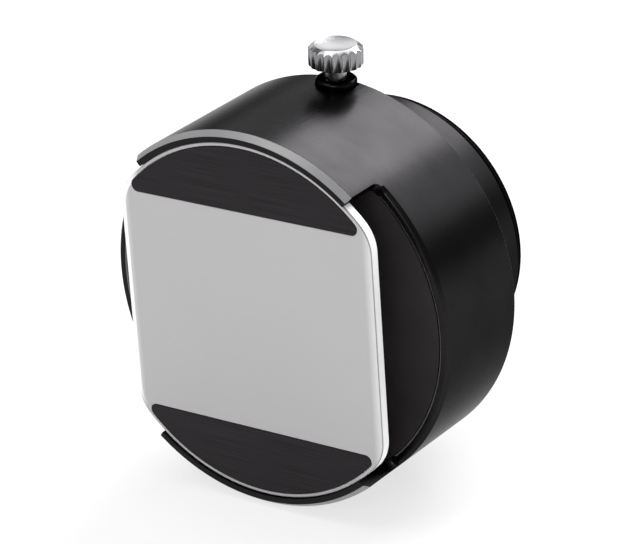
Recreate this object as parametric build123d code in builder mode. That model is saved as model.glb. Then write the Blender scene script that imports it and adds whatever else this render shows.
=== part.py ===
from build123d import *
from math import cos, radians, sin, sqrt
import os

# Slide duplicator that screws on a lens's filter thread. Millimetres, +Z up.
# The origin lies on the optical axis, in the plane that seats on the lens. +Y points to
# the lens, and -Y to the diffuser, which faces the lamp.

# Lens thread: M52 x 0.75 filter thread, modelled at its major diameter
thread_radius = 26.0
thread_length = 3.0
thread_lead = 0.3
thread_wall = 1.4
flange_thickness = 2.5
spigot_step = 0.2
spigot_length = 3.5
seat_width = 1.3

# Extension tube, with V grooves in its bore against stray light
tube_wall = 2.3
tube_length = 27.1
trap_count = 4
trap_pitch = 4.2
trap_depth = 0.7
trap_start = 6.0

# Stop ring: a snap ring on the tube's inner end
stop_ring_height = 1.3
stop_ring_thickness = 0.8
stop_groove_depth = 0.7
stop_ring_setback = 0.9
stop_ring_gap = 4.0

# Ring set screws, M1.6
set_screw_radius = 0.8
set_screw_length = 2.2
set_screw_sink = 0.1
set_screw_setback = 1.8
set_screw_angles = (90.0, 210.0, 330.0)

# Barrel, with an arch above and below the slot for the film holder
lock_depth = 8.7
barrel_wall = 2.0
barrel_length = 31.7
seat_distance = 15.0
rim_bevel = 0.9
rim_bevel_length = 1.3
back_bevel = 0.5
back_bevel_length = 0.5
cavity_step = 2.0
hub_wall = 3.3
hub_length = 4.6
hub_edge = 0.5
bearing_wall = 1.2
ledge_width = 2.0
ledge_length = 3.0
arch_half_angle = 39.6
slot_corner = 1.5
slot_bevel = 0.6
slot_bevel_length = 0.7
slot_bevel_stop_angle = 3.0

# Diffuser, name plates and the gap that the film holder slides in
diffuser_sink = 0.45
diffuser_thickness = 2.15
diffuser_margin = 1.2
diffuser_corner = 8.0
diffuser_edge = 0.25
plate_thickness = 0.5
plate_proud = 0.1
plate_margin = 0.75
plate_height = 12.1
plate_corner = 1.2
plate_gap = 0.1
holder_gap = 6.6
guide_height = 7.65

# Stage
stage_thickness = 2.0
window_width = 38.0
window_height = 26.0
window_corner = 2.0
window_bevel = 1.0

# Countersunk screws, M2: four through the diffuser and guides, four in the stage
screw_radius = 1.0
screw_head_radius = 1.9
screw_slot_width = 0.5
screw_slot_depth = 0.45
screw_tip_gap = 0.2
guide_screw_spacing = 14.0
guide_screw_inset = 3.95
stage_screw_inset = 2.35
stage_screw_angle = 30.0

# Click stop in the lower guide
ball_radius = 1.5
ball_proud = 0.7
ball_lip = 0.18
ball_lip_fit = 0.015
click_wire = 0.2
click_wire_gap = 0.2
click_turns = 4
click_height = 3.4
plug_length = 1.8
plug_socket = 1.5
plug_socket_depth = 0.9

# Clamp band, felt ring and clamp shoe
band_thickness = 1.05
band_width = 4.4
band_gap = 3.0
band_side_gap = 0.2
band_headroom = 0.3
felt_width = 2.0
felt_thickness = 0.6
felt_lip = 1.2
shoe_radius = 1.9
shoe_height = 2.4
shoe_gap = 0.1
shoe_socket_depth = 1.2

# Lock screw M4, its bush and the knob. The screw stands square on the barrel, turned a
# little from the top towards +X.
stem_turn = 3.0
stem_setback = 3.0
stem_radius = 1.95
stem_tip_radius = 0.95
bush_radius = 2.6
bush_setback = 1.6
bush_flange_radius = 3.8
bush_stand = 1.15
bush_bevel = 0.35
neck_length = 2.05
knob_radius = 5.0
knob_side = 3.1
knob_edge = 0.3
knob_crown = 0.8
knob_dish_radius = 3.85
knob_dish_depth = 0.55
knob_ring_radius = 2.9
knob_ring_height = 0.5
knob_socket_depth = 2.3
flute_count = 20
flute_radius = 0.85
flute_depth = 0.42

# Clearances
running_fit = 0.05
loose_fit = 0.1

# Planes along the optical axis
barrel_back = -seat_distance
rim = barrel_back - barrel_length
diffuser_front = rim + diffuser_sink
diffuser_back = diffuser_front + diffuser_thickness
plate_front = diffuser_front - plate_proud
plate_back = plate_front + plate_thickness
stage_front = diffuser_back + holder_gap
stage_back = stage_front + stage_thickness
ledge_back = stage_back + ledge_length
click_y = (diffuser_back + stage_front) / 2
stem_y = barrel_back - stem_setback
groove_front = stem_y - band_width / 2 - band_side_gap
groove_back = stem_y + band_width / 2 + band_side_gap
bearing_front = groove_front - bearing_wall
hub_back = barrel_back + hub_length
felt_back = hub_back - felt_lip
felt_front = felt_back - felt_width
tube_back = -flange_thickness
tube_front = tube_back - tube_length
stop_ring_front = tube_front + stop_ring_setback
stop_ring_back = stop_ring_front + stop_ring_thickness
set_screw_y = tube_back - set_screw_setback

# Radii that follow from the thread, outwards
thread_bore = thread_radius - thread_wall
tube_radius = thread_radius + seat_width
tube_bore = tube_radius - tube_wall
spigot_radius = thread_radius + spigot_step
stop_groove_radius = tube_radius - stop_groove_depth
stop_ring_outer = tube_radius + stop_ring_height
hub_radius = tube_radius + hub_wall
barrel_radius = tube_radius + lock_depth
barrel_bore = barrel_radius - barrel_wall
cavity_radius = barrel_bore - cavity_step
ledge_radius = cavity_radius - ledge_width

# Radii and heights that follow from the fits
insert_radius = barrel_bore - running_fit
holder_height = 2 * (insert_radius - guide_height)
plate_radius = insert_radius - plate_margin
plate_inner_edge = plate_radius - plate_height
plate_half_width = sqrt(plate_radius**2 - plate_inner_edge**2)
diffuser_half_width = plate_half_width + diffuser_margin
guide_screw_height = 2 * (insert_radius - guide_screw_inset)
stage_screw_circle = insert_radius - stage_screw_inset
bearing_radius = tube_radius + running_fit
band_outer = bearing_radius + band_thickness
groove_radius = band_outer + band_headroom
felt_inner = tube_radius + loose_fit
felt_outer = felt_inner + felt_thickness
set_screw_end = tube_radius - set_screw_sink
set_screw_tip = set_screw_end - set_screw_length
screw_head_height = screw_head_radius - screw_radius
screw_hole_radius = screw_radius + loose_fit
guide_screw_length = stage_back - screw_tip_gap - plate_back
stage_screw_length = stage_thickness + ledge_length - screw_tip_gap

# Heights in the click stop, from the bottom of the slot downwards
slot_floor = -holder_height / 2
ball_z = slot_floor + ball_proud - ball_radius
ball_bore = ball_radius + running_fit
lip_bottom = slot_floor - ball_lip
lip_radius = sqrt(ball_radius**2 - (lip_bottom - ball_z) ** 2) + ball_lip_fit
coil_radius = ball_bore - click_wire_gap - click_wire
coil_top = ball_z - sqrt((ball_radius + click_wire + ball_lip_fit) ** 2 - coil_radius**2)
coil_bottom = coil_top - click_height
plug_top = coil_bottom - click_wire
plug_bottom = plug_top - plug_length

# Heights along the lock screw's axis, from the optical axis outwards
stem_bore = stem_radius + running_fit
spot_radius = bush_flange_radius + loose_fit
spot_height = sqrt(barrel_radius**2 - spot_radius**2)
shoe_foot = band_outer + shoe_gap
shoe_top = shoe_foot + shoe_height
shoe_socket_floor = shoe_top - shoe_socket_depth
stem_shoulder = shoe_top + running_fit
stem_tip = shoe_socket_floor + running_fit
bush_bottom = shoe_top + bush_setback
bush_top = barrel_radius + bush_stand
knob_ring_bottom = bush_top + neck_length
knob_bottom = knob_ring_bottom + knob_ring_height
knob_shoulder = knob_bottom + knob_side
knob_rim = knob_shoulder + knob_crown
stem_end = knob_ring_bottom + knob_socket_depth

# The lock screw's axis, and the plane through it that its profiles are drawn on
stem_across = (cos(radians(stem_turn)), 0, -sin(radians(stem_turn)))
stem_outwards = (sin(radians(stem_turn)), 0, cos(radians(stem_turn)))
stem_axis = Axis((0, stem_y, 0), stem_outwards)
stem_section = Plane(origin=(0, stem_y, 0), x_dir=stem_across, z_dir=(0, -1, 0))

os.makedirs("parts", exist_ok=True)


def across(y):
    """The plane square to the optical axis at y, with X sideways and Y up."""
    return Plane.XZ.offset(-y)


def around_stem(height):
    """The plane square to the lock screw's axis at a height along it."""
    plane = Plane(origin=(0, stem_y, 0), x_dir=stem_across, z_dir=stem_outwards)
    return plane.offset(height)


def around_set_screw(angle, radius):
    """The plane square to a ring set screw's axis at a radius of the tube."""
    outwards = (cos(radians(angle)), 0, sin(radians(angle)))
    plane = Plane(origin=(0, set_screw_y, 0), x_dir=(0, 1, 0), z_dir=outwards)
    return plane.offset(radius)


def ring_section(inner, outer, front, back, mode=Mode.ADD):
    """A ring's section in the current sketch, with radii along X and depth along Y."""
    with Locations(((inner + outer) / 2, (front + back) / 2)):
        Rectangle(outer - inner, back - front, mode=mode)


def arch_segment(side, radius, edge):
    """A segment of a disc in the current sketch, above (1) or below (-1) its chord."""
    Circle(radius)
    with Locations((0, side * (edge + radius / 2))):
        Rectangle(2 * radius, radius, mode=Mode.INTERSECT)


def guide_screw_places(y):
    """The places of the four guide screws in the plane at y."""
    grid = GridLocations(guide_screw_spacing, guide_screw_height, 2, 2)
    return [across(y).location * place for place in grid.local_locations]


def stage_screw_places(y):
    """The places of the four stage screws in the plane at y."""
    angles = [up + turn for up in (90, 270) for turn in (-stage_screw_angle, stage_screw_angle)]
    return [
        across(y).location
        * Location(
            (stage_screw_circle * cos(radians(angle)), stage_screw_circle * sin(radians(angle)))
        )
        for angle in angles
    ]


def countersunk_screw(length):
    """A slotted screw that points down from the top of its head, at the origin."""
    with BuildPart() as body:
        with BuildSketch(Plane.XZ):
            with BuildLine():
                Polyline(
                    (0, 0),
                    (screw_head_radius, 0),
                    (screw_radius, -screw_head_height),
                    (screw_radius, -length),
                    (0, -length),
                    close=True,
                )
            make_face()
        revolve(axis=Axis.Z)
        with BuildSketch():
            Rectangle(2 * screw_head_radius, screw_slot_width)
        extrude(amount=-screw_slot_depth, mode=Mode.SUBTRACT)
    return body.part


def side_wedge(half_angle):
    """The outline of a side cut-out in the current sketch, open to the right."""
    near = ledge_radius / 2
    far = 2 * barrel_radius
    rise = sin(radians(half_angle))
    run = cos(radians(half_angle))
    with BuildLine() as outline:
        Polyline(
            (near * run, -near * rise),
            (far * run, -far * rise),
            (far * run, far * rise),
            (near * run, near * rise),
            close=True,
        )
    return outline.line


# Thread ring: its flange seats on the lens, and its spigot fits in the tube
with BuildPart() as thread_ring:
    with BuildSketch():
        with BuildLine():
            Polyline(
                (thread_bore, tube_back - spigot_length),
                (spigot_radius, tube_back - spigot_length),
                (spigot_radius, tube_back),
                (tube_radius, tube_back),
                (tube_radius, 0),
                (thread_radius, 0),
                (thread_radius, thread_length - thread_lead),
                (thread_radius - thread_lead, thread_length),
                (thread_bore, thread_length),
                close=True,
            )
        make_face()
    revolve(axis=Axis.Y)
    for angle in set_screw_angles:
        with BuildSketch(around_set_screw(angle, set_screw_tip)):
            Circle(set_screw_radius)
        extrude(amount=set_screw_length, mode=Mode.SUBTRACT)
thread_ring.part.label = "thread_ring"
export_step(thread_ring.part, "parts/thread_ring.step")

# Mount tube: slides and turns in the barrel's bearing
with BuildPart() as mount_tube:
    with BuildSketch():
        ring_section(tube_bore, tube_radius, tube_front, tube_back)
        ring_section(
            tube_bore, spigot_radius, tube_back - spigot_length, tube_back, mode=Mode.SUBTRACT
        )
        ring_section(
            stop_groove_radius, tube_radius, stop_ring_front, stop_ring_back, mode=Mode.SUBTRACT
        )
        for index in range(trap_count):
            with Locations((tube_bore, tube_front + trap_start + index * trap_pitch)):
                Rectangle(
                    trap_depth * sqrt(2), trap_depth * sqrt(2), rotation=45, mode=Mode.SUBTRACT
                )
    revolve(axis=Axis.Y)
    for angle in set_screw_angles:
        with BuildSketch(around_set_screw(angle, spigot_radius - loose_fit)):
            Circle(set_screw_radius)
        extrude(amount=tube_radius - spigot_radius + 2 * loose_fit, mode=Mode.SUBTRACT)
mount_tube.part.label = "mount_tube"
export_step(mount_tube.part, "parts/mount_tube.step")

# Ring set screws: hold the thread ring in the tube
with BuildPart() as ring_set_screws:
    for angle in set_screw_angles:
        with BuildSketch(around_set_screw(angle, set_screw_tip)):
            Circle(set_screw_radius)
        extrude(amount=set_screw_length)
        with BuildSketch(around_set_screw(angle, set_screw_end)):
            Rectangle(screw_slot_width, 2 * set_screw_radius)
        extrude(amount=-screw_slot_depth, mode=Mode.SUBTRACT)
ring_set_screws.part.label = "ring_set_screws"
export_step(ring_set_screws.part, "parts/ring_set_screws.step")

# Stop ring: keeps the tube from pulling out of the bearing
with BuildPart() as stop_ring:
    with BuildSketch():
        ring_section(stop_groove_radius, stop_ring_outer, stop_ring_front, stop_ring_back)
    revolve(axis=Axis.Y)
    with BuildSketch(across(stop_ring_front)):
        with Locations((0, -stop_ring_outer)):
            Rectangle(stop_ring_gap, stop_ring_outer)
    extrude(amount=-stop_ring_thickness, mode=Mode.SUBTRACT)
stop_ring.part.label = "stop_ring"
export_step(stop_ring.part, "parts/stop_ring.step")

# Side cut-out: what the barrel lacks on its right, so that the holder slides through
with BuildPart() as side_cut:
    with BuildSketch(across(rim)):
        with BuildLine():
            add(side_wedge(90 - arch_half_angle))
        make_face()
    extrude(amount=rim - stage_front)
    slot_back = side_cut.faces().sort_by(Axis.Y)[-1]
    fillet(slot_back.edges().sort_by(Axis.X)[:3].filter_by(Axis.Z, reverse=True), slot_corner)

# Bevel on the outer edge of the cut-out's back face
with BuildPart() as slot_edge:
    with BuildSketch():
        with BuildLine():
            Polyline(
                (barrel_radius - slot_bevel, stage_front),
                (barrel_radius + slot_bevel, stage_front),
                (barrel_radius + slot_bevel, stage_front + 2 * slot_bevel_length),
                close=True,
            )
        make_face()
    revolve(axis=Axis.Y)
    with BuildSketch(across(stage_front)):
        with BuildLine():
            add(side_wedge(90 - arch_half_angle - slot_bevel_stop_angle))
        make_face()
    extrude(amount=-2 * slot_bevel_length, mode=Mode.INTERSECT)

# Barrel: one turned piece, from the front rim to the hub behind
with BuildPart() as barrel:
    with BuildSketch():
        with BuildLine():
            Polyline(
                (barrel_bore, rim),
                (barrel_radius - rim_bevel, rim),
                (barrel_radius, rim + rim_bevel_length),
                (barrel_radius, barrel_back - back_bevel_length),
                (barrel_radius - back_bevel, barrel_back),
                (hub_radius, barrel_back),
                (hub_radius, hub_back - hub_edge),
                (hub_radius - hub_edge, hub_back),
                (bearing_radius, hub_back),
                (bearing_radius, bearing_front),
                (cavity_radius, bearing_front),
                (cavity_radius, ledge_back),
                (ledge_radius, ledge_back),
                (ledge_radius, stage_back),
                (barrel_bore, stage_back),
                close=True,
            )
        make_face()
        ring_section(bearing_radius, groove_radius, groove_front, groove_back, mode=Mode.SUBTRACT)
        ring_section(bearing_radius, felt_outer, felt_front, felt_back, mode=Mode.SUBTRACT)
    revolve(axis=Axis.Y)
    add(side_cut.part, mode=Mode.SUBTRACT)
    add(mirror(side_cut.part, about=Plane.YZ, mode=Mode.PRIVATE), mode=Mode.SUBTRACT)
    add(slot_edge.part, mode=Mode.SUBTRACT)
    add(mirror(slot_edge.part, about=Plane.YZ, mode=Mode.PRIVATE), mode=Mode.SUBTRACT)
    with Locations(*stage_screw_places(stage_back)):
        Hole(screw_radius, depth=ledge_length)
    with BuildSketch(stem_section):
        with BuildLine():
            Polyline(
                (0, bearing_radius),
                (stem_bore, bearing_radius),
                (stem_bore, bush_bottom),
                (bush_radius, bush_bottom),
                (bush_radius, spot_height),
                (spot_radius, spot_height),
                (spot_radius, bush_top),
                (0, bush_top),
                close=True,
            )
        make_face()
    revolve(axis=stem_axis, mode=Mode.SUBTRACT)
barrel.part.label = "barrel"
export_step(barrel.part, "parts/barrel.step")

# Stage plate: the film lies in front of its window
with BuildPart() as stage_plate:
    with BuildSketch(across(stage_front)):
        Circle(insert_radius)
        RectangleRounded(window_width, window_height, window_corner, mode=Mode.SUBTRACT)
    extrude(amount=-stage_thickness)
    window_edge = stage_plate.faces().sort_by(Axis.Y)[-1].inner_wires()[0]
    chamfer(window_edge.edges(), window_bevel)
    with Locations(*guide_screw_places(stage_front)):
        Hole(screw_radius, depth=stage_thickness)
    with Locations(*stage_screw_places(stage_front)):
        CounterSinkHole(screw_hole_radius, screw_head_radius, depth=stage_thickness)
stage_plate.part.label = "stage_plate"
export_step(stage_plate.part, "parts/stage_plate.step")

# Stage screws: hold the stage on the barrel's ledge
stage_screw = countersunk_screw(stage_screw_length)
with BuildPart() as stage_screws:
    with Locations(*stage_screw_places(stage_front)):
        add(stage_screw)
stage_screws.part.label = "stage_screws"
export_step(stage_screws.part, "parts/stage_screws.step")

# Upper guide: fills the upper arch between the diffuser and the stage
with BuildPart() as upper_guide:
    with BuildSketch(across(diffuser_back)):
        arch_segment(1, insert_radius, holder_height / 2)
    extrude(amount=-holder_gap)
    with Locations(*guide_screw_places(diffuser_back)):
        Hole(screw_hole_radius, depth=holder_gap)
upper_guide.part.label = "upper_guide"
export_step(upper_guide.part, "parts/upper_guide.step")

# Lower guide: the same, with the click stop's bore
with BuildPart() as lower_guide:
    with BuildSketch(across(diffuser_back)):
        arch_segment(-1, insert_radius, holder_height / 2)
    extrude(amount=-holder_gap)
    with Locations(*guide_screw_places(diffuser_back)):
        Hole(screw_hole_radius, depth=holder_gap)
    with Locations((0, click_y, slot_floor)):
        Hole(lip_radius, depth=ball_lip)
    with Locations((0, click_y, lip_bottom)):
        Hole(ball_bore, depth=insert_radius)
lower_guide.part.label = "lower_guide"
export_step(lower_guide.part, "parts/lower_guide.step")

# Click ball
with BuildPart() as click_ball:
    with Locations((0, click_y, ball_z)):
        Sphere(ball_radius)
click_ball.part.label = "click_ball"
export_step(click_ball.part, "parts/click_ball.step")

# Click spring: its wire is six-sided, to keep its facets few
with BuildPart() as click_spring:
    with BuildLine() as coil:
        Helix(
            pitch=click_height / click_turns,
            height=click_height,
            radius=coil_radius,
            center=(0, click_y, coil_bottom),
        )
    with BuildSketch(Plane(origin=coil.line @ 0, z_dir=coil.line % 0)):
        RegularPolygon(click_wire, 6)
    sweep(path=coil.line, is_frenet=True)
click_spring.part.label = "click_spring"
export_step(click_spring.part, "parts/click_spring.step")

# Click plug: a grub screw that closes the spring's bore
with BuildPart() as click_plug:
    with BuildSketch(Plane.XY.offset(plug_bottom)):
        with Locations((0, click_y)):
            Circle(ball_bore)
    extrude(amount=plug_length)
    with BuildSketch(Plane.XY.offset(plug_bottom)):
        with Locations((0, click_y)):
            RegularPolygon(plug_socket / 2, 6, major_radius=False)
    extrude(amount=plug_socket_depth, mode=Mode.SUBTRACT)
click_plug.part.label = "click_plug"
export_step(click_plug.part, "parts/click_plug.step")

# Diffuser: opal plate that carries the name plates
with BuildPart() as diffuser:
    with BuildSketch(across(diffuser_front)) as diffuser_outline:
        Circle(insert_radius)
        Rectangle(2 * diffuser_half_width, 2 * insert_radius, mode=Mode.INTERSECT)
        fillet(diffuser_outline.vertices(), diffuser_corner)
    extrude(amount=-diffuser_thickness)
    chamfer(diffuser.faces().sort_by(Axis.Y)[0].edges(), diffuser_edge)
    for side in (1, -1):
        with BuildSketch(across(diffuser_front)) as recess_outline:
            arch_segment(side, plate_radius + plate_gap, plate_inner_edge - plate_gap)
            fillet(recess_outline.vertices(), plate_corner + plate_gap)
        extrude(amount=plate_proud - plate_thickness, mode=Mode.SUBTRACT)
    with Locations(*guide_screw_places(plate_back)):
        CounterSinkHole(screw_hole_radius, screw_head_radius, depth=diffuser_back - plate_back)
diffuser.part.label = "diffuser"
export_step(diffuser.part, "parts/diffuser.step")

# Guide screws: hold the diffuser and the guides on the stage, below the name plates
guide_screw = countersunk_screw(guide_screw_length)
with BuildPart() as guide_screws:
    with Locations(*guide_screw_places(plate_back)):
        add(guide_screw)
guide_screws.part.label = "guide_screws"
export_step(guide_screws.part, "parts/guide_screws.step")

# Name plates, upper and lower
with BuildPart() as upper_name_plate:
    with BuildSketch(across(plate_front)) as plate_outline:
        arch_segment(1, plate_radius, plate_inner_edge)
        fillet(plate_outline.vertices(), plate_corner)
    extrude(amount=-plate_thickness)
upper_name_plate.part.label = "upper_name_plate"
export_step(upper_name_plate.part, "parts/upper_name_plate.step")

with BuildPart() as lower_name_plate:
    with BuildSketch(across(plate_front)) as plate_outline:
        arch_segment(-1, plate_radius, plate_inner_edge)
        fillet(plate_outline.vertices(), plate_corner)
    extrude(amount=-plate_thickness)
lower_name_plate.part.label = "lower_name_plate"
export_step(lower_name_plate.part, "parts/lower_name_plate.step")

# Felt ring: light seal and brake on the tube
with BuildPart() as felt_ring:
    with BuildSketch():
        ring_section(felt_inner, felt_outer, felt_front, felt_back)
    revolve(axis=Axis.Y)
felt_ring.part.label = "felt_ring"
export_step(felt_ring.part, "parts/felt_ring.step")

# Clamp band: split ring that the lock screw presses on the tube
with BuildPart() as clamp_band:
    with BuildSketch():
        ring_section(
            bearing_radius, band_outer, stem_y - band_width / 2, stem_y + band_width / 2
        )
    revolve(axis=Axis.Y)
    with BuildSketch(across(stem_y)):
        with Locations((0, -band_outer)):
            Rectangle(band_gap, band_outer)
    extrude(amount=band_width, both=True, mode=Mode.SUBTRACT)
clamp_band.part.label = "clamp_band"
export_step(clamp_band.part, "parts/clamp_band.step")

# Clamp shoe: a pad with a hollow foot that rides on the band
with BuildPart() as clamp_shoe:
    with BuildSketch(around_stem(tube_radius)):
        Circle(shoe_radius)
    extrude(amount=shoe_top - tube_radius)
    with BuildSketch(across(stem_y)):
        Circle(shoe_foot)
    extrude(amount=2 * shoe_radius, both=True, mode=Mode.SUBTRACT)
    with BuildSketch(around_stem(shoe_top)):
        Circle(stem_tip_radius + running_fit)
    extrude(amount=-shoe_socket_depth, mode=Mode.SUBTRACT)
clamp_shoe.part.label = "clamp_shoe"
export_step(clamp_shoe.part, "parts/clamp_shoe.step")

# Screw bush: flanged nut that is set in the barrel's spot face
with BuildPart() as screw_bush:
    with BuildSketch(stem_section):
        with BuildLine():
            Polyline(
                (stem_bore, bush_bottom),
                (bush_radius, bush_bottom),
                (bush_radius, spot_height),
                (bush_flange_radius, spot_height),
                (bush_flange_radius, bush_top - bush_bevel),
                (bush_flange_radius - bush_bevel, bush_top),
                (stem_bore, bush_top),
                close=True,
            )
        make_face()
    revolve(axis=stem_axis)
screw_bush.part.label = "screw_bush"
export_step(screw_bush.part, "parts/screw_bush.step")

# Lock screw: its tip turns in the shoe, and its other end is pressed into the knob
with BuildPart() as lock_screw:
    with BuildSketch(stem_section):
        with BuildLine():
            Polyline(
                (0, stem_tip),
                (stem_tip_radius, stem_tip),
                (stem_tip_radius, stem_shoulder),
                (stem_radius, stem_shoulder),
                (stem_radius, stem_end),
                (0, stem_end),
                close=True,
            )
        make_face()
    revolve(axis=stem_axis)
lock_screw.part.label = "lock_screw"
export_step(lock_screw.part, "parts/lock_screw.step")

# Lock knob: fluted head with a dished top
with BuildPart() as lock_knob:
    with BuildSketch(stem_section):
        with BuildLine():
            crown = Polyline(
                (0, stem_end),
                (stem_radius, stem_end),
                (stem_radius, knob_ring_bottom),
                (knob_ring_radius, knob_ring_bottom),
                (knob_ring_radius, knob_bottom),
                (knob_radius - knob_edge, knob_bottom),
                (knob_radius, knob_bottom + knob_edge),
                (knob_radius, knob_shoulder),
                (knob_dish_radius, knob_rim),
            )
            dish = TangentArc((0, knob_rim - knob_dish_depth), crown @ 1, tangent=(1, 0))
            Line(dish @ 0, crown @ 0)
        make_face()
    revolve(axis=stem_axis)
    with BuildSketch(around_stem(knob_bottom)):
        with PolarLocations(knob_radius + flute_radius - flute_depth, flute_count):
            Circle(flute_radius)
    extrude(amount=knob_rim - knob_bottom, mode=Mode.SUBTRACT)
lock_knob.part.label = "lock_knob"
export_step(lock_knob.part, "parts/lock_knob.step")
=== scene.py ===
"""Slide duplicator: the detailed pieces, their finishes and the studio, on the CAD frame."""

from __future__ import annotations

import logging
from dataclasses import dataclass, field
from enum import Enum
from math import asin, cos, hypot, pi, radians, sin, sqrt
from typing import Callable, Iterable, Sequence

import bpy
from bpy.types import Material, Node, NodeSocket, Object
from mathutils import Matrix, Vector


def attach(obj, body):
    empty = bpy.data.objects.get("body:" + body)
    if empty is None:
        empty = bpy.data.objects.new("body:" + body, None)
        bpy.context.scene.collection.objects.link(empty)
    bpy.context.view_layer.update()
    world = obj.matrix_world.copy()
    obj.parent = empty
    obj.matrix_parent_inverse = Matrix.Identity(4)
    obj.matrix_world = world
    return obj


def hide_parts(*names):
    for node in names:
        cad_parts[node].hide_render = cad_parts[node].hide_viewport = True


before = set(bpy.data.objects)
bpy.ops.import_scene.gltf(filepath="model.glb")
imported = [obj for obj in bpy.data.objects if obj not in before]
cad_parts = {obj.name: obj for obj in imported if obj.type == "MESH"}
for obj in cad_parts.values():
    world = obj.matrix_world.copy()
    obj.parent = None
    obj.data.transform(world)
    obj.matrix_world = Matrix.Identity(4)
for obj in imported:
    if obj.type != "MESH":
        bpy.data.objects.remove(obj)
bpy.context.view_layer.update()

logging.basicConfig(level=logging.INFO, format="%(message)s")
log = logging.getLogger("slide_duplicator")

Pair = tuple[float, float]
Triple = tuple[float, float, float]

MM = 0.001
FULL_TURN = 2 * pi
WELD = 1e-6
NEAR = 0.01 * MM
SHARP = 20.0
SHARP_IF_ROUNDED = 35.0


class Side(Enum):
    """Which arch of the barrel a piece belongs to."""

    UPPER = 1
    LOWER = -1


class Pick(Enum):
    """What is selected on a piece."""

    VERTICES = "VERT"
    EDGES = "EDGE"
    FACES = "FACE"


class Body(Enum):
    """The CAD bodies that new pieces ride on."""

    TUBE = "tube"
    BARREL = "barrel"
    KNOB = "knob"


# ---------------------------------------------------------------- modelling helpers


@dataclass(frozen=True)
class Spindle:
    """An axis that pieces are turned about.

    Args:
        origin: A point on the axis.
        along: The axis's direction.
        out: A direction square to the axis, where angles start.
    """

    origin: Triple
    along: Triple
    out: Triple

    def at(self, radius: float, height: float, angle: float = 0.0) -> Vector:
        """A point near the axis.

        Args:
            radius: Its distance from the axis, in metres.
            height: Its place along the axis, in metres.
            angle: Its angle round the axis, in radians.

        Returns:
            The point.
        """
        along = Vector(self.along)
        out = Vector(self.out)
        side = along.cross(out)
        turned_out = out * cos(angle) + side * sin(angle)
        return Vector(self.origin) + along * height + turned_out * radius


STEM_TURN = radians(3.0)
STEM_PLACE = -18.0 * MM
OPTICAL = Spindle((0.0, 0.0, 0.0), (0.0, 1.0, 0.0), (0.0, 0.0, 1.0))
STEM = Spindle(
    (0.0, STEM_PLACE, 0.0),
    (sin(STEM_TURN), 0.0, cos(STEM_TURN)),
    (cos(STEM_TURN), 0.0, -sin(STEM_TURN)),
)


def reach(at: Vector) -> float:
    """A place's distance from the optical axis, in metres."""
    return hypot(at.x, at.z)


def edit() -> None:
    """Enters edit mode on the active piece."""
    bpy.ops.object.mode_set(mode="EDIT")


def leave() -> None:
    """Leaves edit mode."""
    bpy.ops.object.mode_set(mode="OBJECT")


def activate(piece: Object) -> None:
    """Makes a piece the only selected and the active one.

    Args:
        piece: The piece.
    """
    bpy.ops.object.select_all(action="DESELECT")
    piece.select_set(True)
    bpy.context.view_layer.objects.active = piece


def remove(piece: Object) -> None:
    """Deletes a piece."""
    activate(piece)
    bpy.ops.object.delete()


def added(operator: Callable[..., set[str]], name: str, **values: object) -> Object:
    """Adds an object with one of Blender's operators, and leaves it alone selected.

    Args:
        operator: The operator that adds it.
        name: The object's name.
        values: The operator's values.

    Returns:
        The new object.
    """
    bpy.ops.object.select_all(action="DESELECT")
    operator(**values)
    thing = bpy.context.object
    thing.name = name
    return thing


def modify(piece: Object, kind: str, **values: object) -> None:
    """Adds a modifier to the active piece, sets it and applies it.

    Args:
        piece: The active piece, in object mode.
        kind: The modifier's type.
        values: The modifier's values.
    """
    bpy.ops.object.modifier_add(type=kind)
    modifier = piece.modifiers[-1]
    for name, value in values.items():
        setattr(modifier, name, value)
    bpy.ops.object.modifier_apply(modifier=modifier.name)


def start_at(name: str, place: Vector) -> Object:
    """Starts a piece as one vertex, in edit mode.

    Args:
        name: The piece's name.
        place: Where the vertex is.

    Returns:
        The new piece.
    """
    piece = added(bpy.ops.mesh.primitive_plane_add, name, size=MM)
    piece.data.name = name
    edit()
    bpy.ops.mesh.select_mode(type="VERT")
    bpy.ops.mesh.merge(type="CENTER")
    bpy.ops.transform.translate(value=place)
    return piece


def trace(places: Sequence[Vector]) -> None:
    """Draws a line from the selected vertex through the places after the first."""
    for here, there in zip(places, places[1:]):
        bpy.ops.mesh.extrude_vertices_move(TRANSFORM_OT_translate={"value": there - here})


def push(way: float) -> None:
    """Extrudes the selected faces along the optical axis, by a way in mm."""
    bpy.ops.mesh.extrude_region_move(TRANSFORM_OT_translate={"value": (0, way * MM, 0)})


def weld() -> None:
    """Merges doubled vertices of the whole piece and turns its faces outwards."""
    bpy.ops.mesh.select_all(action="SELECT")
    bpy.ops.mesh.remove_doubles(threshold=WELD)
    bpy.ops.mesh.normals_make_consistent(inside=False)


def pick(piece: Object, kind: Pick, test: Callable[..., bool]) -> None:
    """Selects what passes a test, and ends in that select mode.

    Args:
        piece: The piece that is being edited.
        kind: Whether its vertices, edges or faces are tested.
        test: Takes a vertex's place, the places of an edge's ends, or a face's centre.
    """
    bpy.ops.mesh.select_mode(type=kind.value)
    bpy.ops.mesh.select_all(action="DESELECT")
    leave()
    places = [vertex.co for vertex in piece.data.vertices]
    if kind is Pick.VERTICES:
        for vertex in piece.data.vertices:
            vertex.select = test(vertex.co)
    elif kind is Pick.EDGES:
        for line in piece.data.edges:
            line.select = test(*(places[end] for end in line.vertices))
    else:
        for face in piece.data.polygons:
            face.select = test(face.center)
    edit()


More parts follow.
